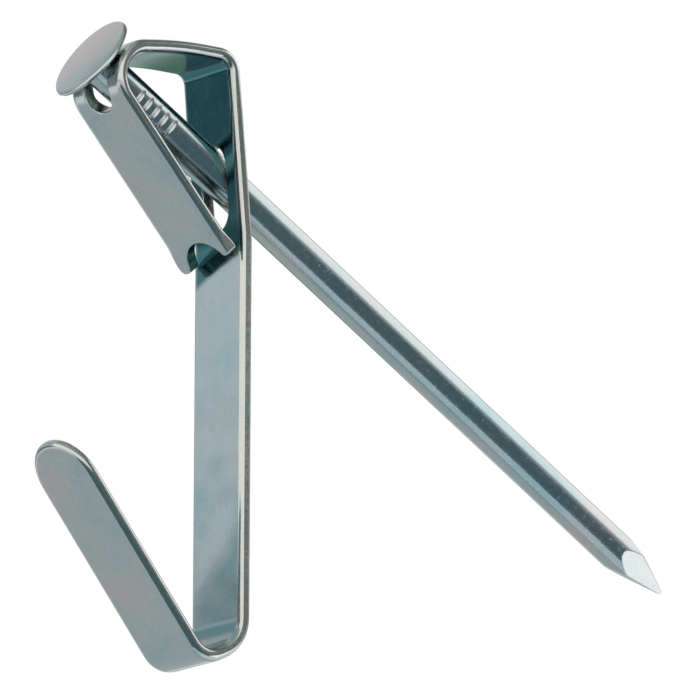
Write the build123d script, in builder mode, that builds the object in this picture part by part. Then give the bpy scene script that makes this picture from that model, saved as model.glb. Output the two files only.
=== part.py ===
from build123d import *
import os
from math import asin, cos, degrees, radians, sin, sqrt, tan

# Picture hook: a strip folded into a hook and a nail carrier, and its nail.
# Origin: middle of the flat rear face that lies on the wall.
# +X runs across the strip, +Y into the wall, +Z up.

# Strip section
strip_width = 6.5
strip_thickness = 1.0
edge_round = 0.32          # rounding of the long edges

# Flat back and hook, lengths along the strip's middle line
back_length = 30.5         # hook's rear corner up to the kink
hook_back_bend = 3.0       # middle-line radius of the rear corner
hook_floor = 3.82          # rear corner to front corner
floor_rise = 25.0          # floor rising to the back, degrees
hook_front_bend = 1.9
leg_length = 19.4          # front corner to the round tip
leg_lean = 38.1            # leg away from the upright, degrees

# Neck, top and flap
neck_length = 13.53        # kink to the rear top corner
neck_lean = 5.4            # neck away from the wall, degrees
neck_bend = 10.0
rear_bend = 1.3
top_rear_length = 4.55     # rear top corner to the crown
top_rear_rise = 1.0        # rising to the front, degrees
top_front_length = 7.8     # crown to the front top corner
top_front_fall = 7.0       # falling to the front, degrees
crown_bend = 29.0
front_bend = 2.45
flap_drop = 48.9           # flap below the horizontal, degrees
flap_gap = 0.1             # flap's end clear of the back
flap_skew = 5.5            # flap's end out of square, degrees
notch_radius = 2.4         # round notch between the flap's two teeth
notch_depth = 1.85
notch_shift = 0.3          # notch off the middle, to +X
tooth_round = 0.45         # corner radius as a share of the tooth's width

# Nail
nail_diameter = 2.87
nail_length = 61.7         # under the head to the tip
nail_drop = 33.2           # nail below the horizontal, degrees
nail_below_centre = 0.44   # nail axis below the centre of the front bend
seat_gap = 0.15            # head off the front bend
head_diameter = 7.1
head_rim = 0.68            # head's thickness at the rim
head_dome = 0.15
head_round = 0.28
point_length = 5.0
point_blunt = 0.25         # side of the square left at the tip
point_turn = 20            # flats turned about the nail, degrees
grip_count = 5
grip_start = 3.9           # first grip mark under the head
grip_pitch = 0.85
grip_width = 0.3
grip_depth = 0.06

# Slots for the nail
slot_play = 0.19           # slot wider than the nail
slot_above = 0.3           # room over the nail in the neck's slot
slot_below = 1.8           # room under it
slot_shift = 0.43          # front slot's middle past the nail, towards the flap
cut_margin = 1.0           # cutters run past the faces they cut

half_strip = strip_thickness / 2
notch_margin = flap_gap / 2
slot_width = nail_diameter + slot_play
nail_radius = nail_diameter / 2
head_radius = head_diameter / 2
full_circle = 360
half_circle = 180


# Unit step in the side view, angle from +Y towards +Z
def heading(angle):
    return Vector(0, cos(radians(angle)), sin(radians(angle)))


# Directions along the strip, from the leg's tip round to the flap's end
across = Vector(1, 0, 0)
leg_up = heading(90 + leg_lean)
neck_up = heading(90 + neck_lean)
rear_top_on = heading(half_circle - top_rear_rise)
front_top_on = heading(half_circle + top_front_fall)
flap_on = heading(full_circle - flap_drop)
flap_out = heading(full_circle - flap_drop - 90)

# Corners of the middle line; the origin halves the flat part of the back
back_turn = 90 - floor_rise
rear_tangent = hook_back_bend * tan(radians(back_turn / 2))
neck_tangent = neck_bend * tan(radians(neck_lean / 2))
flat_length = back_length - rear_tangent - neck_tangent
hook_rear = Vector(0, -half_strip, -flat_length / 2 - rear_tangent)
hook_front = hook_rear + heading(half_circle + floor_rise) * hook_floor
kink = Vector(0, -half_strip, flat_length / 2 + neck_tangent)
rear_corner = kink + neck_up * neck_length
crown = rear_corner + rear_top_on * top_rear_length
front_corner = crown + front_top_on * top_front_length
flap_inner_reach = half_strip * sin(radians(flap_drop))
flap_run = -strip_thickness - flap_gap - flap_inner_reach - front_corner.Y
flap_end = front_corner + flap_on * (flap_run / cos(radians(flap_drop)))
tip_centre = hook_front + leg_up * (leg_length - strip_width / 2)

# Centre of the front bend
front_turn = half_circle - flap_drop - top_front_fall
to_centre = (flap_on - front_top_on).normalized()
bend_centre = front_corner + to_centre * (front_bend / cos(radians(front_turn / 2)))

# Nail axis, pointing at the tip, and the seat under the head
nail_on = heading(full_circle - nail_drop)
nail_under = heading(full_circle - nail_drop - 90)
bend_outer = front_bend + half_strip
nail_seat = bend_centre + nail_under * nail_below_centre - nail_on * (bend_outer + seat_gap)

# Neck slot: as long as the nail's slanted crossing of the strip, plus its room
cross_angle = radians(90 - nail_drop - neck_lean)
crossing_length = (nail_diameter + strip_thickness * cos(cross_angle)) / sin(cross_angle)
slot_length = crossing_length + slot_above + slot_below
to_kink = kink - nail_seat
reach_to_neck = to_kink.cross(neck_up).X / nail_on.cross(neck_up).X
nail_at_neck = nail_seat + nail_on * reach_to_neck
neck_slot_centre = nail_at_neck + neck_up * ((slot_above - slot_below) / 2)

# Front slot: the same punch, round the front bend where the nail crosses it
half_spread = degrees((slot_length - slot_width) / 2 / front_bend)
nail_crossing = half_circle - nail_drop + degrees(asin(nail_below_centre / front_bend))
slot_middle = nail_crossing + degrees(slot_shift / front_bend)

tip_plane = Plane(origin=tip_centre, x_dir=across, z_dir=-leg_up)
flap_plane = Plane(origin=flap_end, x_dir=across, z_dir=flap_out)
neck_plane = Plane(origin=neck_slot_centre, x_dir=across, z_dir=heading(half_circle + neck_lean))

# Outline the flap keeps near its end, seen square to the flap
skew_rise = strip_width * tan(radians(flap_skew))
notch_half_chord = sqrt(notch_radius**2 - (notch_radius - notch_depth) ** 2)
with BuildSketch(flap_plane) as flap_shape:
    with BuildLine():
        Polyline(
            (-strip_width, strip_width), (-strip_width / 2, strip_width),
            (-strip_width / 2, 0), (strip_width / 2, skew_rise),
            (strip_width / 2, strip_width), (strip_width, strip_width),
            (strip_width, 2 * strip_width), (-strip_width, 2 * strip_width), close=True,
        )
    make_face()
    with Locations((notch_shift, skew_rise / 2 + notch_depth - notch_radius)):
        Circle(notch_radius, mode=Mode.SUBTRACT)
    tooth_corners = flap_shape.vertices().filter_by_position(Axis.Y, -cut_margin, notch_depth)
    left_corners = tooth_corners.filter_by_position(Axis.X, -strip_width, notch_shift)
    fillet(left_corners, tooth_round * (strip_width / 2 + notch_shift - notch_half_chord))
    tooth_corners = flap_shape.vertices().filter_by_position(Axis.Y, -cut_margin, notch_depth)
    right_corners = tooth_corners.filter_by_position(Axis.X, notch_half_chord, strip_width)
    fillet(right_corners, tooth_round * (strip_width / 2 - notch_shift - notch_half_chord))

with BuildPart() as hanger_strip:
    with BuildLine() as fold:
        FilletPolyline(
            tip_centre, hook_front, hook_rear, kink, rear_corner, crown, front_corner, flap_end,
            radius=[
                hook_front_bend, hook_back_bend, neck_bend, rear_bend, crown_bend, front_bend,
            ],
        )
    with BuildSketch(tip_plane):
        RectangleRounded(strip_width, strip_thickness, edge_round)
    sweep(path=fold.line)
    # Round tip: half the section turned about the leg's normal
    with BuildSketch(tip_plane):
        RectangleRounded(strip_width, strip_thickness, edge_round)
        Rectangle(
            strip_width, strip_width, align=(Align.MAX, Align.CENTER), mode=Mode.SUBTRACT
        )
    revolve(axis=Axis(tip_centre, heading(half_circle + leg_lean)), revolution_arc=half_circle)
    # Round notch and teeth at the flap's end
    with BuildSketch(flap_plane):
        with Locations((0, -notch_margin)):
            Rectangle(
                strip_width + cut_margin, strip_width, align=(Align.CENTER, Align.MIN)
            )
        add(flap_shape.sketch_local, mode=Mode.SUBTRACT)
    extrude(amount=half_strip + notch_margin, both=True, mode=Mode.SUBTRACT)
    # Slot in the neck
    with BuildSketch(neck_plane):
        SlotOverall(slot_length, slot_width, rotation=90)
    extrude(amount=strip_thickness, both=True, mode=Mode.SUBTRACT)
    # Slot wrapped round the front bend: a turned middle and two radial ends
    first_radius = heading(slot_middle - half_spread)
    with BuildSketch(Plane(origin=bend_centre, x_dir=across, z_dir=across.cross(first_radius))):
        with Locations((0, front_bend)):
            Rectangle(slot_width, strip_thickness + cut_margin)
    revolve(
        axis=Axis(bend_centre, across), revolution_arc=2 * half_spread, mode=Mode.SUBTRACT
    )
    for end_angle in (slot_middle - half_spread, slot_middle + half_spread):
        with BuildSketch(Plane(origin=bend_centre, x_dir=across, z_dir=heading(end_angle))):
            Circle(slot_width / 2)
        extrude(amount=bend_outer + cut_margin, mode=Mode.SUBTRACT)

nail_plane = Plane(origin=nail_seat, x_dir=nail_on, z_dir=across)
point_plane = Plane(
    origin=nail_seat + nail_on * (nail_length - point_length), x_dir=across, z_dir=nail_on
)

# What the four flats of the point take off the wire
with BuildPart() as point_waste:
    with BuildSketch(point_plane):
        Circle(nail_diameter)
    extrude(amount=point_length + cut_margin)
    with BuildSketch(point_plane):
        Rectangle(nail_diameter, nail_diameter, rotation=point_turn)
    with BuildSketch(point_plane.offset(point_length)):
        Rectangle(point_blunt, point_blunt, rotation=point_turn)
    loft(mode=Mode.SUBTRACT)

with BuildPart() as nail:
    with BuildSketch(nail_plane) as nail_half:
        with BuildLine():
            Polyline(
                (-head_rim - head_dome, 0), (nail_length, 0), (nail_length, nail_radius),
                (0, nail_radius), (0, head_radius), (-head_rim, head_radius),
            )
            TangentArc((-head_rim - head_dome, 0), (-head_rim, head_radius), tangent=(0, 1))
        make_face()
        outer_rim = nail_half.vertices().group_by(Axis.Y)[-1].sort_by(Axis.X)[0]
        fillet(outer_rim, head_round)
        # Grip marks left by the jaws that held the wire
        with Locations((grip_start + grip_pitch * (grip_count - 1) / 2, nail_radius)):
            with GridLocations(grip_pitch, 0, grip_count, 1):
                Polygon(
                    (-grip_width / 2, 0), (grip_width / 2, 0), (0, -grip_depth),
                    align=None, mode=Mode.SUBTRACT,
                )
    revolve(axis=Axis(nail_seat, nail_on))
    add(point_waste.part, mode=Mode.SUBTRACT)

os.makedirs("parts", exist_ok=True)
hanger_strip.part.label = "hanger_strip"
export_step(hanger_strip.part, "parts/hanger_strip.step")
nail.part.label = "nail"
export_step(nail.part, "parts/nail.step")
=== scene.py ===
import bpy
import numpy as np
from mathutils import Matrix, Vector


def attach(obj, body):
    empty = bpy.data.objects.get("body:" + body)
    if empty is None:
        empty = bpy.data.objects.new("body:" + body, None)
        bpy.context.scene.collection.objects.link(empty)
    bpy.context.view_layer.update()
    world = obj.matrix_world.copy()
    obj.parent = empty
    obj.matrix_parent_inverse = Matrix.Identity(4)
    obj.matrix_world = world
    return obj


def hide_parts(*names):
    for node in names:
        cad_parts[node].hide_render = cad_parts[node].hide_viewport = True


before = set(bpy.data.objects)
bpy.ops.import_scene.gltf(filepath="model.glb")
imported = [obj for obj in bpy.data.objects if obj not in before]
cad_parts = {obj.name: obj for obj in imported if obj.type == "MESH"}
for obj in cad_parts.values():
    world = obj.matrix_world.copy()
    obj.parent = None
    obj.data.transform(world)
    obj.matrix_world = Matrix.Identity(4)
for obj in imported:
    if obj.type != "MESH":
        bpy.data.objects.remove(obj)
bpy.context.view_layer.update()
mm = 0.001    # the pieces are worked out in mm and put into the mesh in metres
print("frame loaded, nodes:", len(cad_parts))


def unit(v):
    # every vector over its own length
    v = np.asarray(v, float)
    return v / np.linalg.norm(v, axis=-1, keepdims=True)


def heading(degrees):
    # step of length 1 in the side view (y, z): cosine and sine of the angle from +y towards +z
    return np.array([np.cos(np.radians(degrees)), np.sin(np.radians(degrees))])


def direction(azimuth, elevation):
    # step of length 1 in space: azimuth 0 looks to -y and 90 to +x, elevation is up from the level
    a, e = np.radians(azimuth), np.radians(elevation)
    return np.stack([np.sin(a) * np.cos(e), -np.cos(a) * np.cos(e), np.sin(e) + 0 * a], -1)


def gridQuads(rows, columns, wrap=False):
    # corner numbers of each cell of a grid: row times columns plus column, for the cell's four corners;
    # wrap joins the last column to the first
    r, c = np.meshgrid(np.arange(rows - 1), np.arange(columns if wrap else columns - 1), indexing="ij")
    d = (c + 1) % columns
    corners = [r * columns + c, r * columns + d, (r + 1) * columns + d, (r + 1) * columns + c]
    return np.stack(corners, -1).reshape(-1, 4)


def meshPiece(name, points, blocks, normals, fields, material):
    # points that round to the same place become one vertex, which keeps its first normal and field values
    first, where = np.unique(np.round(points, 5), axis=0, return_index=True, return_inverse=True)[1:]
    where = where.reshape(-1)
    faces = sum((where[block].tolist() for block in blocks), [])
    mesh = bpy.data.meshes.new(name)
    mesh.from_pydata((points[first] * mm).tolist(), [], faces)
    mesh.validate(clean_customdata=False)
    for field, values in fields.items():
        values = np.asarray(values, np.float32)[first]
        vector = values.ndim == 2
        layer = mesh.attributes.new(field, "FLOAT_VECTOR" if vector else "FLOAT", "POINT")
        layer.data.foreach_set("vector" if vector else "value", values.ravel())
    mesh.polygons.foreach_set("use_smooth", np.ones(len(mesh.polygons), bool))
    mesh.normals_split_custom_set_from_vertices(normals[first].tolist())
    piece = bpy.data.objects.new(name, mesh)
    bpy.context.scene.collection.objects.link(piece)
    mesh.materials.append(material)
    return piece


def nodeMaker(tree):
    # adds nodes to one emptied tree; a value that is a socket is linked, any other is set on the input
    tree.nodes.clear()

    def add(kind, values=(), **settings):
        node = tree.nodes.new(kind)
        for key, value in settings.items():
            setattr(node, key, value)
        for key, value in dict(values).items():
            if isinstance(value, bpy.types.NodeSocket):
                tree.links.new(value, node.inputs[key])
            else:
                node.inputs[key].default_value = value
        return node

    return add


zincLook = {
    # tint against the patch noise: teal, blue grey, neutral, faint violet
    "tints": [(0.30, (0.40, 0.515, 0.53)), (0.45, (0.49, 0.545, 0.56)),
              (0.55, (0.53, 0.55, 0.55)), (0.68, (0.585, 0.53, 0.565))],
    "patchScale": 0.16,                     # tint patches per mm
    "mottleScale": 2.4, "mottle": 0.10,     # fine mottle per mm, and how much it darkens
    "along": (0.25, 9.0, 9.0),              # rolled or drawn lines: long in the piece's own length
    "roughness": (0.09, 0.19),
    "swellScale": 0.22, "wave": 0.06,       # slow unevenness of the sheet
    "grain": 0.05, "pitting": 0.12,         # bump of the lines and of the mottle
    "hairScale": 0.35, "hairTurn": (0.4, 0.3, 0.7), "hairStretch": (0.5, 7.0, 7.0),
    "hairWidth": 0.018, "hairShare": 0.3, "hairDepth": 0.35, "hairDull": 0.12,    # hair scratches
    "wearTint": (0.57, 0.565, 0.53), "wear": 0.9,              # rubbed edges
    "paintedShadeTint": (0.13, 0.35, 0.38),                            # painted shade inside the fold and over the hook's bend
    "shearScale": 3.2, "shearTint": (0.72, 0.66, 0.56), "shearDepth": 0.5,    # torn middle of the cut edges
}
nailLook = {**zincLook, "along": (7.0, 7.0, 0.3), "roughness": (0.12, 0.24), "wave": 0.03}


def zincFinish(name, place, look):
    # bright zinc. Tint = ramp of a slow noise, times a fine mottle, times the painted shade tint where foldShade is 1;
    # edges turn to the rubbed tint where edgeWear meets the lines, and their middle to the torn tint in grains.
    # Roughness = lines and mottle between two limits, more on scratches. Bump = swell, lines, mottle, scratches
    made = bpy.data.materials.new(name)
    made.use_nodes = True
    add = nodeMaker(made.node_tree)

    def ramp(source, stops):
        node = add("ShaderNodeValToRGB", {"Fac": source})
        while len(node.color_ramp.elements) < len(stops):
            node.color_ramp.elements.new(0.5)
        for element, (at, colour) in zip(node.color_ramp.elements, stops):
            element.position = at
            element.color = (*colour, 1) if isinstance(colour, tuple) else (colour, colour, colour, 1)
        return node.outputs["Color"]

    def maths(kind, a, b):
        return add("ShaderNodeMath", {0: a, 1: b}, operation=kind).outputs[0]

    def mix(kind, share, a, b):
        # sockets 0, 6 and 7 are the share and the two colours
        return add("ShaderNodeMix", {0: share, 6: a, 7: b}, data_type="RGBA", blend_type=kind).outputs[2]

    def noise(vector, scale, detail, roughness=0.5):
        values = {"Vector": vector, "Scale": scale, "Detail": detail, "Roughness": roughness}
        return add("ShaderNodeTexNoise", values).outputs["Fac"]

    def bump(strength, distance, height, under=None, invert=False):
        values = {"Strength": strength, "Distance": distance, "Height": height}
        if under is not None:
            values["Normal"] = under
        return add("ShaderNodeBump", values, invert=invert).outputs[0]

    where = add("ShaderNodeAttribute", attribute_name=place).outputs["Vector"]
    wear = add("ShaderNodeAttribute", attribute_name="edgeWear").outputs["Fac"]
    shade = add("ShaderNodeAttribute", attribute_name="foldShade").outputs["Fac"]
    stretched = add("ShaderNodeMapping", {"Vector": where, "Scale": look["along"]}).outputs[0]
    slanted = add("ShaderNodeMapping", {"Vector": where, "Rotation": look["hairTurn"],
                                        "Scale": look["hairStretch"]}).outputs[0]

    patch = noise(where, look["patchScale"], 4.0, 0.55)
    mottle = noise(where, look["mottleScale"], 6.0, 0.7)
    lines = noise(stretched, 1.0, 5.0, 0.75)
    swell = noise(where, look["swellScale"], 1.0)
    grains = noise(where, look["shearScale"], 4.0, 0.7)
    hair = add("ShaderNodeTexVoronoi", {"Vector": slanted, "Scale": look["hairScale"], "Randomness": 1.0},
               feature="DISTANCE_TO_EDGE").outputs["Distance"]
    scratch = maths("MULTIPLY", ramp(hair, [(0.0, 1.0), (look["hairWidth"], 0.0)]),
                    ramp(mottle, [(0.52, 0.0), (0.62, 1.0)]))
    scratch = maths("MULTIPLY", scratch, look["hairShare"])

    tint = mix("MULTIPLY", 1.0, ramp(patch, look["tints"]), ramp(mottle, [(0.25, 1.0 - look["mottle"]), (0.75, 1.0)]))
    # painted shade: darkens the tint towards teal by the foldShade share
    tint = mix("MULTIPLY", shade, tint, (*look["paintedShadeTint"], 1))
    rubbed = maths("MULTIPLY", wear, ramp(lines, [(0.35, 0.1), (0.65, look["wear"])]))
    tint = mix("MIX", rubbed, tint, (*look["wearTint"], 1))
    torn = maths("MULTIPLY", ramp(wear, [(0.985, 0.0), (1.0, 1.0)]), ramp(grains, [(0.36, 1.0), (0.6, 0.15)]))
    tint = mix("MULTIPLY", torn, tint, (*look["shearTint"], 1))

    low, high = look["roughness"]
    blend = maths("ADD", maths("MULTIPLY", lines, 0.6), maths("MULTIPLY", mottle, 0.4))
    rough = add("ShaderNodeMapRange", {"Value": blend, "From Min": 0.3, "From Max": 0.7,
                                       "To Min": low, "To Max": high}).outputs[0]
    rough = maths("ADD", rough, maths("MULTIPLY", scratch, look["hairDull"]))

    # distances of the bumps are in metres
    height = bump(look["wave"], 0.001, swell)
    height = bump(look["grain"], 0.00004, lines, height)
    height = bump(look["pitting"], 0.00003, mottle, height)
    height = bump(look["hairDepth"], 0.00003, scratch, height, invert=True)
    height = bump(maths("MULTIPLY", torn, look["shearDepth"]), 0.00006, grains, height)
    skin = add("ShaderNodeBsdfPrincipled", {"Base Color": tint, "Metallic": 1.0, "Roughness": rough, "Normal": height})
    add("ShaderNodeOutputMaterial", {"Surface": skin.outputs[0]})
    return made


stripZinc = zincFinish("stripZinc", "flatPlace", zincLook)
nailZinc = zincFinish("nailZinc", "nailPlace", nailLook)
print("zinc finishes made")


strip = {
    "width": 6.5, "thickness": 1.0,
    "edgeRound": 0.60, "edgeDepth": 0.44,    # long edges: round's reach across and through the strip
    "backDepth": 0.33, "backEase": 3.0,      # the same round's depth on the straight back, and its ease in
    "cutRound": 0.13, "rimRound": 0.14,      # flap's cut end, slot rims
    "easeStart": 0.95, "easeLength": 1.7,    # where the long edges' round narrows, back from the flap's end
    "legLength": 19.4, "legLean": 38.1, "hookFrontBend": 1.9,
    "floorLength": 3.82, "floorRise": 25.0, "hookRearBend": 3.0,
    "backLength": 30.5, "neckLean": 5.4, "neckBend": 10.0, "neckLength": 13.53,
    "rearBend": 1.3, "rearTopLength": 4.55, "rearTopRise": 1.0, "crownBend": 29.0,
    "frontTopLength": 7.8, "frontTopFall": 7.0, "frontBend": 2.45, "flapDrop": 48.9, "flapGap": 0.1,
    "flapSkew": 5.5, "notchRadius": 2.4, "notchDepth": 1.85, "notchShift": 0.3, "toothRound": 0.45,
    "slotLength": 6.5706, "slotWidth": 3.06,
    "slotMiddles": ((-1.02623, 18.60370), (-11.57195, 25.80270)),    # (y, z) on the middle line: neck, front
    "slotTrims": (-0.2, -0.45),              # each slot's far end, drawn in towards the nail
    "foldDrop": 4.0, "foldSlope": 0.38, "foldSoft": 0.5,    # painted shade's lower edge under the kink
    "flapLight": 1.0, "flapDark": 9.5, "flapSoft": 2.5,     # inside of the flap: no painted shade, then painted shade at its end
    "patchHeight": 8.0, "patchSlope": 0.9, "patchSoft": 2.4, "patchShade": 0.55,    # painted shade patch over the hook's bend
    "rowStep": 0.2, "columns": 22, "edgeSteps": 9,
    "tipStart": 1.6, "tipSteps": 10, "flapStart": 5.6, "flapSteps": 26, "slotMargin": 1.6,
}


def routeCorners(p):
    # corners of the middle line in the side view, tip of the hook round to the flap's end: each corner is the
    # last one plus a run's heading times its length, and the flap runs until its end is flapGap off the back
    half = p["thickness"] / 2
    trimRear = p["hookRearBend"] * np.tan(np.radians(90 - p["floorRise"]) / 2)
    trimNeck = p["neckBend"] * np.tan(np.radians(p["neckLean"]) / 2)
    flat = p["backLength"] - trimRear - trimNeck
    hookRear = np.array([-half, -flat / 2 - trimRear])
    hookFront = hookRear + heading(180 + p["floorRise"]) * p["floorLength"]
    kink = np.array([-half, flat / 2 + trimNeck])
    rearTop = kink + heading(90 + p["neckLean"]) * p["neckLength"]
    crown = rearTop + heading(180 - p["rearTopRise"]) * p["rearTopLength"]
    frontTop = crown + heading(180 + p["frontTopFall"]) * p["frontTopLength"]
    drop = np.radians(p["flapDrop"])
    run = -p["thickness"] - p["flapGap"] - half * np.sin(drop) - frontTop[0]
    flapEnd = frontTop + heading(-p["flapDrop"]) * run / np.cos(drop)
    tip = hookFront + heading(90 + p["legLean"]) * (p["legLength"] - p["width"] / 2)
    return np.array([tip, hookFront, hookRear, kink, rearTop, crown, frontTop, flapEnd])


def foldedLine(corners, bends):
    # straight runs joined by arcs. An arc takes radius times the tangent of half its turn off both runs, and is
    # radius times the turn long. Kept for each stretch: its start, first point, first direction and curvature
    steps = np.diff(corners, axis=0)
    runs = np.linalg.norm(steps, axis=1)
    angles = np.unwrap(np.arctan2(steps[:, 1], steps[:, 0]))
    turns = np.diff(angles)
    trims = np.append(bends * np.tan(np.abs(turns) / 2), 0)
    lengths = np.zeros(2 * len(runs) - 1)
    lengths[0::2] = runs - trims - np.append(0, trims[:-1])
    lengths[1::2] = bends * np.abs(turns)
    curvature = np.zeros_like(lengths)
    curvature[1::2] = np.sign(turns) / bends
    onward = np.stack([np.cos(angles), np.sin(angles)], -1)
    first = np.zeros((len(lengths), 2))
    first[0::2] = corners[:-1] + onward * np.append(0, trims[:-1])[:, None]
    first[1::2] = corners[1:-1] - onward[:-1] * trims[:-1, None]
    return {"starts": np.append(0, np.cumsum(lengths)[:-1]), "first": first, "direction": np.repeat(angles, 2)[:-1],
            "curvature": curvature, "total": lengths.sum()}


def foldFlat(line, s, x, h, normal):
    # flat pattern (s along, x across, h off the middle) to space: follow the middle line for s, on an arc by its
    # chord, then step h to its left and x across. The normal's part along s is divided by 1 - curvature times h
    k = np.clip(np.searchsorted(line["starts"], s, side="right") - 1, 0, len(line["starts"]) - 1)
    ds, bend, angle = s - line["starts"][k], line["curvature"][k], line["direction"][k]
    turned = bend * ds
    chord = np.where(np.abs(turned) < 1e-9, ds, 2 * np.sin(turned / 2) / np.where(bend == 0, 1, bend))
    y = line["first"][k, 0] + chord * np.cos(angle + turned / 2)
    z = line["first"][k, 1] + chord * np.sin(angle + turned / 2)
    onward = np.stack([0 * s, np.cos(angle + turned), np.sin(angle + turned)], -1)
    left = np.stack([0 * s, -np.sin(angle + turned), np.cos(angle + turned)], -1)
    point = np.stack([x, y, z], -1) + left * h[..., None]
    folded = onward * (normal[..., 0] / (1 - bend * h))[..., None] + left * normal[..., 2:3]
    folded[..., 0] += normal[..., 1]
    return point, unit(folded)


def arcPoints(centre, radius, fromDegrees, toDegrees, count, hollow=False):
    # centre plus radius times (cosine, sine), with the outward normals; hollow turns them to the centre
    a = np.radians(np.linspace(fromDegrees, toDegrees, count))
    out = np.stack([np.cos(a), np.sin(a)], -1)
    return np.asarray(centre) + radius * out, -out if hollow else out


def flapOutline(p):
    # end of the flap in (x, back from the end): side, rounded tooth, round notch, rounded tooth, side. A tooth's
    # inner round lies on the end line's offset, at the notch's radius plus its own from the notch's centre,
    # which is where a line meets a circle
    half, skew = p["width"] / 2, np.tan(np.radians(p["flapSkew"]))
    endNormal = 270 + p["flapSkew"]
    notch = np.array([p["notchShift"], half * skew + p["notchDepth"] - p["notchRadius"]])
    chord = np.sqrt(p["notchRadius"] ** 2 - (p["notchRadius"] - p["notchDepth"]) ** 2)
    teeth, notchFrom = [], {}
    for side in (-1, 1):
        r = p["toothRound"] * (half - side * p["notchShift"] - chord)
        rise = r / np.cos(np.radians(p["flapSkew"]))
        outer = np.array([side * (half - r), (side * (half - r) + half) * skew + rise])
        c = half * skew + rise - notch[1]
        a, b, d = 1 + skew**2, 2 * (skew * c - notch[0]), notch[0] ** 2 + c**2 - (p["notchRadius"] + r) ** 2
        x = (-b + side * np.sqrt(b * b - 4 * a * d)) / (2 * a)
        inner = np.array([x, (x + half) * skew + rise])
        toNotch = np.degrees(np.arctan2(*(notch - inner)[::-1])) % 360
        notchFrom[side] = toNotch - 180
        if side < 0:
            teeth += [arcPoints(outer, r, 180, endNormal, 7), arcPoints(inner, r, endNormal, toNotch, 7)]
        else:
            teeth += [arcPoints(inner, r, toNotch, endNormal, 7), arcPoints(outer, r, endNormal, 360, 7)]
    hollow = arcPoints(notch, p["notchRadius"], notchFrom[-1], notchFrom[1], 19, hollow=True)
    hollow = [values[1:-1] for values in hollow]    # its ends are the teeth's own points
    return (np.concatenate([part[i] for part in (*teeth[:2], hollow, *teeth[2:])]) for i in (0, 1))


def slotRows(p, middle, length):
    # one half of a slotted stretch: rulings run from the long edge to the middle line or to the slot's round
    # rim, and reach the long edge in the order and spacing in which they leave the rim
    reach = p["slotWidth"] / 2 + p["rimRound"]
    straight = (length - p["slotWidth"]) / 2
    a = np.radians(np.linspace(0, 90, 13))
    ahead = np.linspace(straight + reach, straight + reach + p["slotMargin"], 8)[1:]
    s = np.concatenate([-ahead[::-1], -straight - reach * np.cos(a), np.linspace(-straight, straight, 14)[1:-1],
                        straight + reach * np.sin(a), ahead])
    x = np.concatenate([np.zeros(7), reach * np.sin(a), np.full(12, reach), reach * np.cos(a), np.zeros(7)])
    # normals of the rim, into the slot
    inS = np.concatenate([np.zeros(7), np.cos(a), np.zeros(12), -np.sin(a), np.zeros(7)])
    inX = np.concatenate([np.zeros(7), -np.sin(a), -np.ones(12), -np.cos(a), np.zeros(7)])
    walked = np.append(0, np.cumsum(np.hypot(np.diff(s), np.diff(x))))
    edge = s[0] + (s[-1] - s[0]) * walked / walked[-1]
    return {"edge": middle + edge, "s": middle + s, "x": x, "inS": inS, "inX": inX, "rim": slice(7, len(s) - 7)}


def narrowed(p, line, s, size):
    # a round's size along the long edges, which falls smoothly to the cut end's round near the flap's end
    t = np.clip((line["total"] - p["easeStart"] - s) / p["easeLength"], 0, 1)
    return p["cutRound"] + (size - p["cutRound"]) * t * t * (3 - 2 * t)


def edgeReach(p, line, s):
    # the long edges' round across the strip
    return narrowed(p, line, s, p["edgeRound"])


def edgeDepth(p, line, s):
    # the same round through the strip, shallower on the back, easing in and out over the bends beside it
    onBack = (np.clip((s - line["starts"][3]) / p["backEase"], 0, 1)
              * np.clip((line["starts"][7] - s) / p["backEase"], 0, 1))
    return narrowed(p, line, s, p["edgeDepth"] + (p["backDepth"] - p["edgeDepth"]) * onBack)


def edgeBand(line, path, out, reach, depth, half, steps):
    # the strip's edge carried along an outline: a quarter ellipse of reach by depth, a wall, and the quarter
    # ellipse mirrored. A point is the outline less reach times (1 - sine), at half - depth plus depth times cosine
    a = np.radians(np.linspace(0, 90, steps))
    sine = np.concatenate([np.sin(a), np.cos(a)])
    up = np.concatenate([np.cos(a), -np.sin(a)])
    side = np.repeat([1, -1], steps)
    s, x, outS, outX = (values[:, None] for values in (*path.T, *out.T))
    reach, depth = (np.broadcast_to(values, len(path))[:, None] for values in (reach, depth))
    shift = reach * (sine - 1)
    h = side * (half - depth) + depth * up
    flatS, flatX = s + outS * shift, x + outX * shift
    normal = unit(np.stack([outS * sine * depth, outX * sine * depth, up * reach], -1))
    points, normals = foldFlat(line, flatS, flatX, h, normal)
    wear = np.broadcast_to(sine, h.shape)
    return points, normals, np.stack([flatS, flatX, h], -1), wear, gridQuads(*h.shape)


def stripEnds(p, line):
    # both ends in the flat pattern, from the -x edge to the +x edge, with outward normals: the tip's half circle
    # and the flap's notched end. u runs from -1 to 1 across the strip
    u = np.linspace(-1, 1, 2 * p["columns"] + 1)
    tipOut = np.stack([-np.cos(u * np.pi / 2), np.sin(u * np.pi / 2)], -1)
    outline, outward = flapOutline(p)
    flapAt = np.stack([line["total"] - outline[:, 1], outline[:, 0]], -1)
    flapOut = np.stack([-outward[:, 1], outward[:, 0]], -1)
    return u, tipOut * p["width"] / 2, tipOut, flapAt, flapOut


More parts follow.
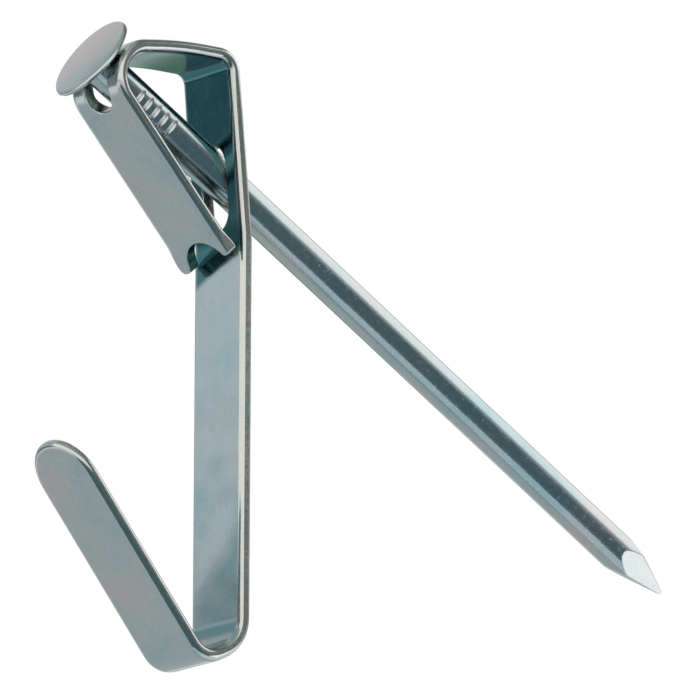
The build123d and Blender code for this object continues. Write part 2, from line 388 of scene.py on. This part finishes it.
def faceGrids(p, line, slots):
    # the face in the flat pattern, as a left and a right half that meet on the middle line. Straight rulings
    # run from the long edge to the middle line or a slot, and from a line across to each end's outline
    wide, total, n = p["width"] / 2, line["total"], p["columns"]
    u, tipAt, tipOut, flapAt, flapOut = stripEnds(p, line)

    edge, inner, innerX, at = [], [], [], p["tipStart"]
    for slot in slots:
        plain = np.linspace(at, slot["edge"][0], int((slot["edge"][0] - at) / p["rowStep"]) + 1)[:-1]
        edge += [plain, slot["edge"]]
        inner += [plain, slot["s"]]
        innerX += [0 * plain, slot["x"]]
        at = slot["edge"][-1]
    flapLine = total - p["flapStart"]
    plain = np.linspace(at, flapLine, int((flapLine - at) / p["rowStep"]) + 1)[1:]
    edge, inner, innerX = (np.concatenate(v)[:, None] for v in (edge + [plain], inner + [plain], innerX + [0 * plain]))
    share = np.linspace(0, 1, n + 1)
    bodyS = edge * (1 - share) + inner * share
    bodyX = (wide - edgeReach(p, line, edge)) * (1 - share) + innerX * share

    rows = np.linspace(1, 0, p["tipSteps"] + 1)[:-1, None]
    tipIn = tipAt - tipOut * p["edgeRound"]
    tipS = p["tipStart"] * (1 - rows) + rows * tipIn[:, 0]
    tipX = u * (wide - edgeReach(p, line, np.array(p["tipStart"]))) * (1 - rows) + rows * tipIn[:, 1]

    rows = np.linspace(0, 1, p["flapSteps"] + 1)[1:, None]
    flapIn = flapAt - flapOut * p["cutRound"]
    flapS = flapLine * (1 - rows) + rows * flapIn[:, 0]
    flapX = u * (wide - edgeReach(p, line, np.array(flapLine))) * (1 - rows) + rows * flapIn[:, 1]
    # the outer columns follow the long edge's round while it narrows
    sideGap = wide - edgeReach(p, line, flapS[:, [0, -1]]) - np.abs(flapX[:, [0, -1]])
    flapX += np.sign(u) * np.abs(u) ** 6 * np.where(u < 0, sideGap[:, :1], sideGap[:, 1:])

    left = (np.concatenate([tipS[:, :n + 1], bodyS, flapS[:, :n + 1]]),
            np.concatenate([tipX[:, :n + 1], -bodyX, flapX[:, :n + 1]]))
    right = (np.concatenate([tipS[:, n:], bodyS[:, ::-1], flapS[:, n:]]),
             np.concatenate([tipX[:, n:], bodyX[:, ::-1], flapX[:, n:]]))
    return left, right


def outerEdge(p, line, leftS, rightS):
    # edge band once round the strip: tip, +x long edge, flap's end, -x long edge
    wide = p["width"] / 2
    u, tipAt, tipOut, flapAt, flapOut = stripEnds(p, line)
    leftS = leftS[::-1]
    path = np.concatenate([tipAt, np.stack([rightS, wide + 0 * rightS], -1), flapAt[::-1],
                           np.stack([leftS, -wide + 0 * leftS], -1), tipAt[:1]])
    out = np.concatenate([tipOut, np.tile((0.0, 1.0), (len(rightS), 1)), flapOut[::-1],
                          np.tile((0.0, -1.0), (len(leftS), 1)), tipOut[:1]])
    cut = np.full(len(flapAt), p["cutRound"])
    reach = np.concatenate([np.full(len(u), p["edgeRound"]), edgeReach(p, line, rightS), cut,
                            edgeReach(p, line, leftS), [p["edgeRound"]]])
    depth = np.concatenate([np.full(len(u), p["edgeDepth"]), edgeDepth(p, line, rightS), cut,
                            edgeDepth(p, line, leftS), [p["edgeDepth"]]])
    return edgeBand(line, path, out, reach, depth, p["thickness"] / 2, p["edgeSteps"])


def slotRim(p, line, slot):
    # edge band once round a slot: up its -x side and back down its +x side
    s, x, inS, inX = (slot[k][slot["rim"]] for k in ("s", "x", "inS", "inX"))
    face = np.concatenate([np.stack([s, -x], -1), np.stack([s, x], -1)[::-1][1:]])
    into = np.concatenate([np.stack([inS, -inX], -1), np.stack([inS, inX], -1)[::-1][1:]])
    r = p["rimRound"]
    return edgeBand(line, face + into * r, into, r, r, p["thickness"] / 2, p["edgeSteps"])


def paintedFoldShade(p, line, flat, wear):
    # share of painted shade on the inner face, 0 to 1: ramps in s inside the fold, and a slanted patch over
    # the hook's bend, none of it on the rounded edges
    s, x, wide = flat[:, 0], flat[:, 1], p["width"] / 2
    hookBend, backStart, neckStart, bendStart, flapStart = line["starts"][[1, 4, 6, 11, 12]]
    foldEdge = neckStart - p["foldDrop"] + p["foldSlope"] * (x + wide)
    inFold = np.clip((s - foldEdge) / p["foldSoft"], 0, 1)
    onFlap = np.clip((s - bendStart) / p["flapLight"], 0, 1)
    atEnd = np.clip((s - flapStart - p["flapDark"]) / p["flapSoft"], 0, 1)
    slant = np.clip((backStart + p["patchHeight"] - p["patchSlope"] * (wide - x) - s) / p["patchSoft"], 0, 1)
    shade = np.maximum(inFold * (1 - onFlap + atEnd), p["patchShade"] * slant * (s > hookBend))
    return shade * (flat[:, 2] > 0) * (1 - wear)


def stripMesh(p, material):
    # both faces of the flat pattern, the band round the outer edge and the bands round the slots, all folded
    bends = [p[k] for k in ("hookFrontBend", "hookRearBend", "neckBend", "rearBend", "crownBend", "frontBend")]
    line = foldedLine(routeCorners(p), np.array(bends))
    half = p["thickness"] / 2
    # a slot's middle is at the distance along the strip where the middle line passes its point
    probe = np.linspace(0, line["total"], 40001)
    track = foldFlat(line, probe, 0 * probe, 0 * probe, np.zeros((len(probe), 3)) + (0, 0, 1))[0][:, 1:]
    middles = [probe[np.argmin(np.hypot(*(track - point).T))] for point in p["slotMiddles"]]
    slots = [slotRows(p, m + trim / 2, p["slotLength"] - abs(trim)) for m, trim in zip(middles, p["slotTrims"])]
    left, right = faceGrids(p, line, slots)

    blocks = []
    for side in (1, -1):
        for s, x in (left, right):
            h = np.full(s.shape, side * half)
            points, normals = foldFlat(line, s, x, h, np.broadcast_to((0, 0, side), s.shape + (3,)))
            quads = gridQuads(*s.shape)[:, ::side]
            blocks.append((points, normals, np.stack([s, x, h], -1), 0 * s, quads))
    blocks.append(outerEdge(p, line, left[0][1:-1, 0], right[0][1:-1, -1]))
    blocks += [slotRim(p, line, slot) for slot in slots]

    starts = np.append(0, np.cumsum([block[3].size for block in blocks])[:-1])
    quads = np.concatenate([block[4] + start for block, start in zip(blocks, starts)])
    points, normals, flat = (np.concatenate([block[i].reshape(-1, 3) for block in blocks]) for i in range(3))
    wear = np.concatenate([block[3].ravel() for block in blocks])
    # foldShade carries the painted shade to the zinc finish
    fields = {"flatPlace": flat, "edgeWear": wear, "foldShade": paintedFoldShade(p, line, flat, wear)}
    return meshPiece("foldedStrip", points, [quads], normals, fields, material)


foldedStrip = stripMesh(strip, stripZinc)
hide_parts("hanger_strip")
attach(foldedStrip, "root")
print("folded strip made, faces:", len(foldedStrip.data.polygons))


nail = {
    "seat": (0.0, -12.0177, 26.5892), "drop": 33.2, "length": 61.7, "diameter": 2.87,    # under the head to the tip
    "headDiameter": 7.1, "headRim": 0.68, "headDome": 0.15, "headRound": 0.28,
    "headTaper": 0.34, "taperFrom": 0.5, "underRound": 0.08, "neckRound": 0.12,    # head's underside
    "pointLength": 5.0, "pointBlunt": 0.25, "pointTurn": 20.0, "pointSoft": 0.035, "tipRound": 0.045,
    "gripCount": 5, "gripStart": 3.9, "gripPitch": 0.85, "gripWidth": 0.46, "gripDepth": 0.09, "gripTurn": 228.0,
    "rimWear": 0.35, "arrisWear": 0.6,
    "around": 112, "stretchMargin": 0.6, "gripStep": 0.03,
}


def nailProfile(p):
    # half outline (distance down the nail, distance off its axis) from the middle of the head to the tip: dome
    # as an arc over the head's chord, quarter round, tapered underside, fillet, straight shank
    r, head = p["diameter"] / 2, p["headDiameter"] / 2
    top = head - p["headRound"]
    domeRadius = (top**2 + p["headDome"] ** 2) / (2 * p["headDome"])
    off = np.linspace(0, top, 22)
    dome = np.stack([-p["headRim"] - p["headDome"] + domeRadius - np.sqrt(domeRadius**2 - off**2), off], -1)
    a = np.radians(np.linspace(90, 0, 8))[1:]
    corner = np.stack([-p["headRim"] + p["headRound"] * (1 - np.sin(a)), top + p["headRound"] * np.cos(a)], -1)
    b = np.radians(np.linspace(0, 90, 6))
    lower = np.stack([p["underRound"] * (np.sin(b) - 1) - p["headTaper"], head - p["underRound"] * (1 - np.cos(b))], -1)
    inward = np.linspace(head - p["underRound"], r + p["neckRound"], 11)[1:]
    taper = np.clip((inward - r - p["taperFrom"]) / (head - r - p["taperFrom"]), 0, 1)
    under = np.stack([-p["headTaper"] * taper, inward], -1)
    c = np.radians(np.linspace(0, 90, 6))[1:]
    fillet = np.stack([p["neckRound"] * (1 - np.cos(c)), r + p["neckRound"] * (1 - np.sin(c))], -1)
    gripFrom = p["gripStart"] - p["stretchMargin"]
    gripTo = p["gripStart"] + p["gripPitch"] * (p["gripCount"] - 1) + p["stretchMargin"]
    pointFrom = p["length"] - p["pointLength"] - p["stretchMargin"]
    z = np.concatenate([np.linspace(p["neckRound"], gripFrom, 14)[1:], np.arange(gripFrom, gripTo, p["gripStep"])[1:],
                        np.linspace(gripTo, pointFrom, 150), np.linspace(pointFrom, p["length"] - 0.06, 110)[1:],
                        p["length"] - np.array([0.04, 0.02, 0.008, 0.0])])
    return np.concatenate([dome, corner, lower, under, fillet, np.stack([z, 0 * z + r], -1)])


def nailMesh(p, material):
    # turned profile. At the point four flats cut it down: the distance off the axis is the least of the wire's
    # radius and the flats' distance over the cosine of the angle to the nearest flat, with a soft join
    profile = nailProfile(p)
    z, radius = profile[:, :1], profile[:, 1:]
    a = np.linspace(0, 2 * np.pi, p["around"], endpoint=False)[None, :]
    r, onShank = p["diameter"] / 2, z > 1
    t = np.clip((p["length"] - z) / p["pointLength"], 0, 1.6)
    toFlat = (a - np.radians(p["pointTurn"]) + np.pi / 4) % (np.pi / 2) - np.pi / 4
    flatOff = (p["pointBlunt"] / 2 + (r - p["pointBlunt"] / 2) * t) / np.cos(toFlat)
    soft = p["pointSoft"]
    blend = np.clip(0.5 + 0.5 * (flatOff - radius) / soft, 0, 1)
    off = np.where(onShank, radius * blend + flatOff * (1 - blend) - soft * blend * (1 - blend), radius)
    # the blunt end rounds in as the root of what is left of tipRound
    toEnd = (p["length"] - z) / p["tipRound"]
    off = off * np.where(toEnd < 1, np.sqrt(np.clip(toEnd, 0, 1)), 1)
    # grip marks: smooth nicks along the nail, on the two sides that the jaws held
    nearest = np.clip(np.round((z - p["gripStart"]) / p["gripPitch"]), 0, p["gripCount"] - 1)
    nick = np.clip(1 - np.abs(z - p["gripStart"] - nearest * p["gripPitch"]) / (p["gripWidth"] / 2), 0, 1)
    hold = np.clip(np.abs(np.cos(a - np.radians(p["gripTurn"]))) * 2.2 - 0.9, 0, 1)
    off = off - p["gripDepth"] * nick * nick * (3 - 2 * nick) * hold * onShank

    down = np.radians(p["drop"])
    axis = np.array([0, np.cos(down), -np.sin(down)])
    across, below = np.array([1.0, 0, 0]), np.array([0, -np.sin(down), -np.cos(down)])
    ring = np.cos(a)[..., None] * across + np.sin(a)[..., None] * below
    points = np.array(p["seat"]) + z[..., None] * axis + off[..., None] * ring
    # normals: the step round the ring crossed with the step along the nail
    normals = np.cross(np.roll(points, -1, axis=1) - np.roll(points, 1, axis=1), np.gradient(points, axis=0))
    normals[0], normals[-1] = -axis, axis
    normals = unit(normals)

    # quads between the rings, and a fan of triangles on the one point at each end
    rows, columns = points.shape[:2]
    body = gridQuads(rows, columns, wrap=True)[columns:-columns]
    here, lastRing = np.arange(columns), (rows - 2) * columns
    onward = (here + 1) % columns
    headFan = np.stack([0 * here, columns + onward, columns + here], -1)
    tipFan = np.stack([lastRing + here, lastRing + onward, 0 * here + (rows - 1) * columns], -1)

    onHead = z < 0.2
    rim = np.clip(1 - np.abs(radius - p["headDiameter"] / 2) / p["rimWear"], 0, 1) * onHead
    arris = np.clip(1 - np.abs(np.abs(toFlat) - np.pi / 4) / 0.12, 0, 1) * (z > p["length"] - p["pointLength"] * 0.8)
    wear = np.maximum(rim + 0 * a, arris * p["arrisWear"])
    place = np.stack([off * np.cos(a), off * np.sin(a), z + 0 * a], -1)
    return meshPiece("wireNail", points.reshape(-1, 3), [body, headFan, tipFan], normals.reshape(-1, 3),
                     {"nailPlace": place.reshape(-1, 3), "edgeWear": wear.reshape(-1)}, material)


wireNail = nailMesh(nail, nailZinc)
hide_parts("nail")
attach(wireNail, "root")
print("nail made, faces:", len(wireNail.data.polygons))


studio = {
    "floorDepth": 0.35, "floorReach": 3.0, "floorColour": (0.9, 0.9, 0.9), "floorWhite": (0.6, 1.6),
    "worldLight": (0.44, 0.50, 0.51),
    "cardFade": 3.0,    # degrees over which a card's edges fade out
    # reflector panels and flags round the hook: azimuth range, elevation range, distance, colour, strength
    "cards": {
        "rearPanel": ((131, 206), (15, 45), 0.90, (1.00, 1.03, 1.03), 1.40),
        "rearSoft": ((203, 246), (11, 50), 0.88, (1.00, 1.01, 1.00), 0.66),
        "rearLow": ((134, 240), (1, 17), 0.90, (1.02, 1.02, 0.98), 0.54),
        "rearTop": ((104, 246), (47, 80), 0.90, (0.85, 1.00, 0.96), 0.24),
        "sideTop": ((100, 130), (20, 50), 0.90, (0.85, 1.00, 0.96), 0.26),
        "sideGlow": ((-38, 96), (-3, 40), 0.90, (1.03, 1.01, 0.97), 1.24),
        "plateCard": ((-80, -40), (6.0, 20), 2.60, (0.84, 0.96, 1.00), 0.86),
        "hookCard": ((-74, -36), (17.5, 64), 2.55, (0.62, 0.96, 1.00), 0.60),
        "headCard": ((-116, -76), (20, 60), 0.90, (1.00, 0.98, 0.98), 0.74),
        "sideFlag": ((8, 104), (-59, -7), 0.34, (0.48, 0.86, 1.00), 0.19),
        "edgeFlag": ((92, 127), (-50, 12), 0.36, (0.50, 0.86, 0.98), 0.17),
        "archFlag": ((107, 127), (22, 41), 0.067, (0.88, 1.00, 0.94), 0.20),
        "blueCard": ((10, 96), (-84, -62), 0.30, (0.66, 0.90, 1.00), 0.84),
        "dipCard": ((-66, 8), (-84, -66), 0.29, (0.68, 0.96, 1.00), 0.48),
        "topFlag": ((-132, -98), (-6, 22), 0.056, (0.58, 1.00, 0.72), 0.34),
        "underCard": ((-150, 8), (-86, -13), 0.30, (0.90, 1.00, 1.01), 0.58),
        "pointCard": ((124, 152), (-42, -8), 0.34, (1.00, 1.02, 1.01), 1.60),
        "neckFlag": ((-76, -34), (-7, 11.2), 2.50, (0.62, 0.88, 1.00), 0.26),
    },
    # azimuth and elevation, distance, size, power
    "lamps": {"keyLamp": ((150, 42), 1.6, 0.9, 14.0), "fillLamp": ((-60, 50), 1.8, 1.2, 9.0)},
}


def stageObject(name, points, quads, material):
    # plain mesh of the studio, in metres, kept apart from the hook's own pieces
    mesh = bpy.data.meshes.new(name)
    mesh.from_pydata(points.reshape(-1, 3).tolist(), [], quads.tolist())
    mesh.materials.append(material)
    made = bpy.data.objects.new(name, mesh)
    bpy.context.scene.collection.objects.link(made)
    return made


def cardFinish(name, colour, strength):
    # plain glow, mixed with clear by the fade attribute
    made = bpy.data.materials.new(name)
    made.use_nodes = True
    add = nodeMaker(made.node_tree)
    fade = add("ShaderNodeAttribute", attribute_name="fade").outputs["Fac"]
    clear = add("ShaderNodeBsdfTransparent").outputs[0]
    glow = add("ShaderNodeEmission", {"Color": (*colour, 1), "Strength": strength}).outputs[0]
    whole = add("ShaderNodeMixShader", {0: fade, 1: clear, 2: glow}).outputs[0]
    add("ShaderNodeOutputMaterial", {"Surface": whole})
    return made


def makeCard(name, azimuths, elevations, distance, colour, strength):
    # patch of a sphere round the hook, seen in reflections only: direction times distance over a grid in azimuth
    # and elevation, with a smooth step of the angle to the nearest edge as its fade
    u, v = np.meshgrid(np.linspace(0, 1, 41), np.linspace(0, 1, 31), indexing="ij")
    turn, climb = azimuths[1] - azimuths[0], elevations[1] - elevations[0]
    points = direction(azimuths[0] + turn * u, elevations[0] + climb * v) * distance
    toEdge = np.minimum(np.minimum(u, 1 - u) * turn, np.minimum(v, 1 - v) * climb)
    fade = np.clip(toEdge / studio["cardFade"], 0, 1)
    card = stageObject(name, points, gridQuads(*u.shape), cardFinish(name, colour, strength))
    layer = card.data.attributes.new("fade", "FLOAT", "POINT")
    layer.data.foreach_set("value", (fade * fade * (3 - 2 * fade)).ravel().astype(np.float32))
    card.visible_camera = card.visible_diffuse = card.visible_shadow = False


def floorFinish():
    # pale floor that keeps its shadow near the hook and turns to plain white far away; clear from below
    made = bpy.data.materials.new("paleFloor")
    made.use_nodes = True
    add = nodeMaker(made.node_tree)
    place = add("ShaderNodeTexCoord").outputs["Object"]
    distance = add("ShaderNodeVectorMath", {0: place}, operation="LENGTH").outputs["Value"]
    near, far = studio["floorWhite"]
    whiteness = add("ShaderNodeMapRange", {"Value": distance, "From Min": near, "From Max": far},
                    interpolation_type="SMOOTHSTEP").outputs[0]
    pale = add("ShaderNodeBsdfDiffuse", {"Color": (*studio["floorColour"], 1)}).outputs[0]
    white = add("ShaderNodeEmission").outputs[0]
    above = add("ShaderNodeMixShader", {0: whiteness, 1: pale, 2: white}).outputs[0]
    below = add("ShaderNodeNewGeometry").outputs["Backfacing"]
    clear = add("ShaderNodeBsdfTransparent").outputs[0]
    whole = add("ShaderNodeMixShader", {0: below, 1: above, 2: clear}).outputs[0]
    add("ShaderNodeOutputMaterial", {"Surface": whole})
    return made


for cardName, card in studio["cards"].items():
    makeCard(cardName, *card)

u, v = np.meshgrid(np.linspace(-1, 1, 21), np.linspace(-1, 1, 21), indexing="ij")
floorPoints = np.stack([u * studio["floorReach"], v * studio["floorReach"], 0 * u - studio["floorDepth"]], -1)
stageObject("floor", floorPoints, gridQuads(*u.shape)[:, ::-1], floorFinish())

# the world gives a plain even light, and is plain white to the camera
world = bpy.data.worlds.new("studioWorld")
bpy.context.scene.world = world
world.use_nodes = True
add = nodeMaker(world.node_tree)
toCamera = add("ShaderNodeLightPath").outputs["Is Camera Ray"]
plain = add("ShaderNodeBackground", {"Color": (*studio["worldLight"], 1)}).outputs[0]
white = add("ShaderNodeBackground", {"Color": (1, 1, 1, 1)}).outputs[0]
shown = add("ShaderNodeMixShader", {0: toCamera, 1: plain, 2: white}).outputs[0]
add("ShaderNodeOutputWorld", {"Surface": shown})

for lampName, ((azimuth, elevation), distance, size, power) in studio["lamps"].items():
    lamp = bpy.data.lights.new(lampName, "AREA")
    lamp.shape, lamp.size, lamp.energy = "DISK", size, power
    holder = bpy.data.objects.new(lampName, lamp)
    bpy.context.scene.collection.objects.link(holder)
    holder.location = direction(azimuth, elevation) * distance
    holder.rotation_mode = "QUATERNION"
    holder.rotation_quaternion = (-Vector(holder.location)).to_track_quat("-Z", "Y")
    holder.visible_glossy = False
print("studio made")


view = {
    "place": (0.72436, -0.49684, -0.18127), "lens": 630.2, "sensor": 36.0,
    "ahead": (-0.80941395, 0.55131377, 0.20224289), "right": (0.56423286, 0.82558039, 0.00763493),
    "up": (0.16275853, -0.1202919, 0.97930563),
    "aimRight": 159.006, "aimUp": 86.582, "focusPixels": 12184.0,    # re-aimed so that the lens has no shift
}
ahead, right, up = (np.array(view[k]) for k in ("ahead", "right", "up"))
ahead = unit(ahead * view["focusPixels"] + right * view["aimRight"] + up * view["aimUp"])
right = unit(right - ahead * (right @ ahead))
turned = np.stack([right, np.cross(right, ahead), -ahead], -1)
lens = bpy.data.cameras.new("camera")
lens.lens, lens.sensor_width, lens.clip_start, lens.clip_end = view["lens"], view["sensor"], 0.05, 20.0
camera = bpy.data.objects.new("camera", lens)
bpy.context.scene.collection.objects.link(camera)
rows = [[*row, at] for row, at in zip(turned.tolist(), view["place"])]
camera.matrix_world = Matrix([*rows, [0, 0, 0, 1]])
bpy.context.scene.camera = camera
bpy.context.scene.view_settings.view_transform = "Standard"
print("camera placed")
